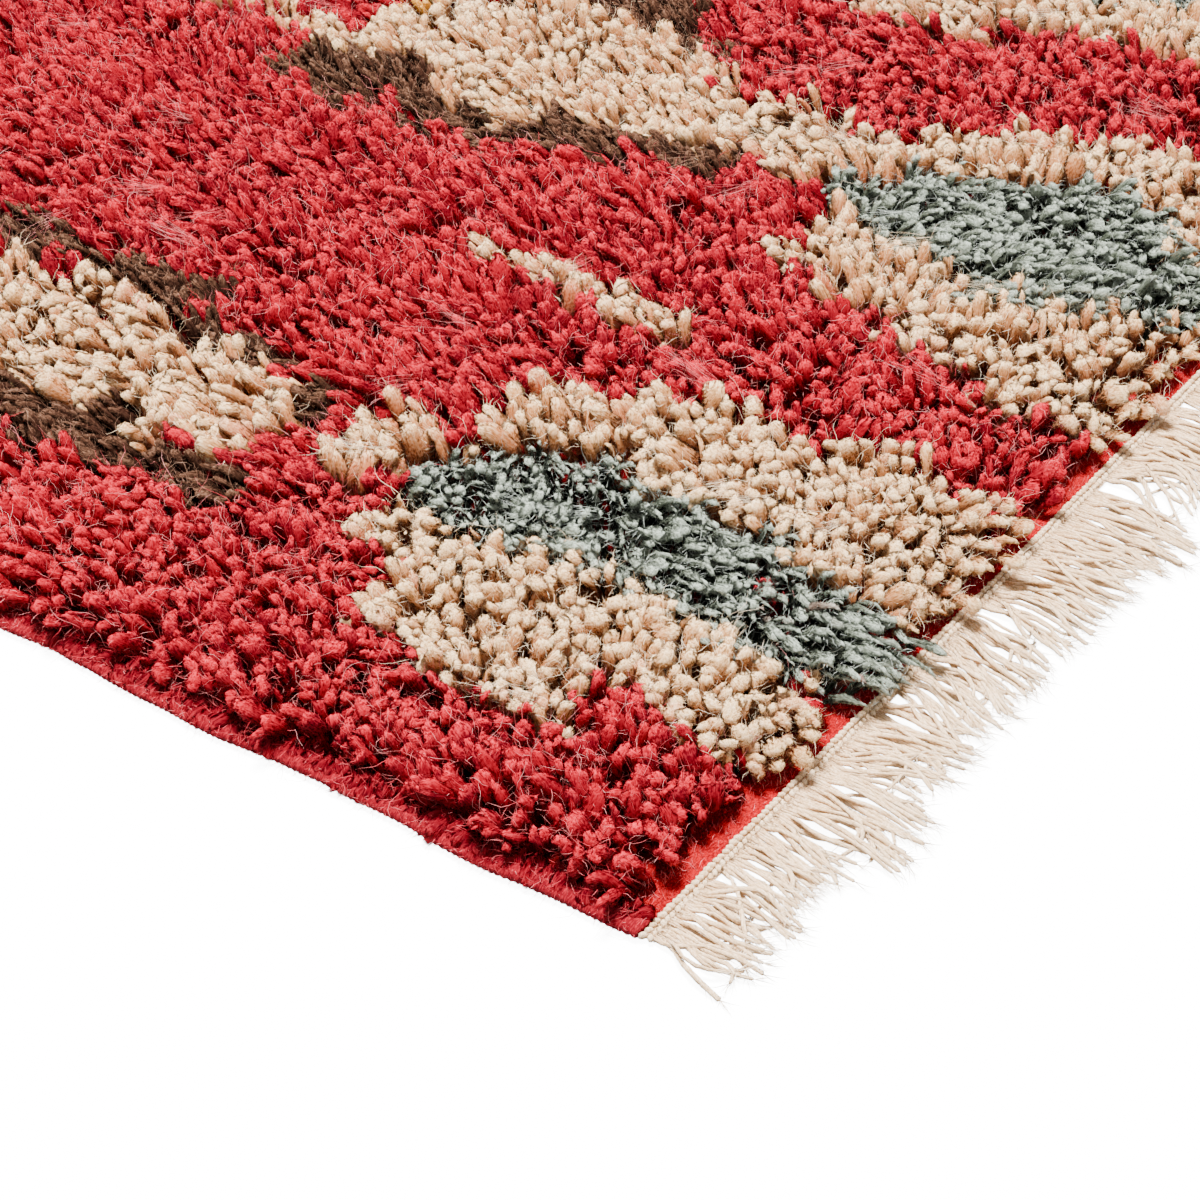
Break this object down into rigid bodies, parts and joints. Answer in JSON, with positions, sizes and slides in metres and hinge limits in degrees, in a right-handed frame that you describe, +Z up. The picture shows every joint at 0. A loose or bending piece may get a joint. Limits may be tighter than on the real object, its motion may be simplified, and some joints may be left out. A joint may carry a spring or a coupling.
{
  "type": "berber rug",
  "caption": "Hand-knotted wool shag rug with deep coloured pile, flat-woven end bands, overcast side cords and a cream warp fringe at both ends.",
  "frame": {"origin": "centre of the underside, where the rug rests on the floor", "axes": "+Z up out of the pile, +Y along the rug's length, +X across it, along the fringed ends"},
  "size_m": [1.2113, 1.9306, 0.0328],
  "materials": {
    "band_red": "flat-woven red wool weft",
    "pile_red": "soft-spun red wool pile, matte",
    "pile_beige": "soft-spun undyed beige wool pile, matte",
    "pile_green": "hairy grey-green wool pile, matte",
    "pile_brown": "hairy dark brown wool pile, matte",
    "cord_red": "red wool overcasting over warp cords",
    "warp_ecru": "plied ecru warp yarn"
  },
  "bodies": {
    "root": {"ground_cloth": "band_red", "shag_pile": "pile_red", "side_cord_left": "cord_red", "side_cord_right": "cord_red", "fringe_front": "warp_ecru", "fringe_back": "warp_ecru"}
  },
  "joints": []
}
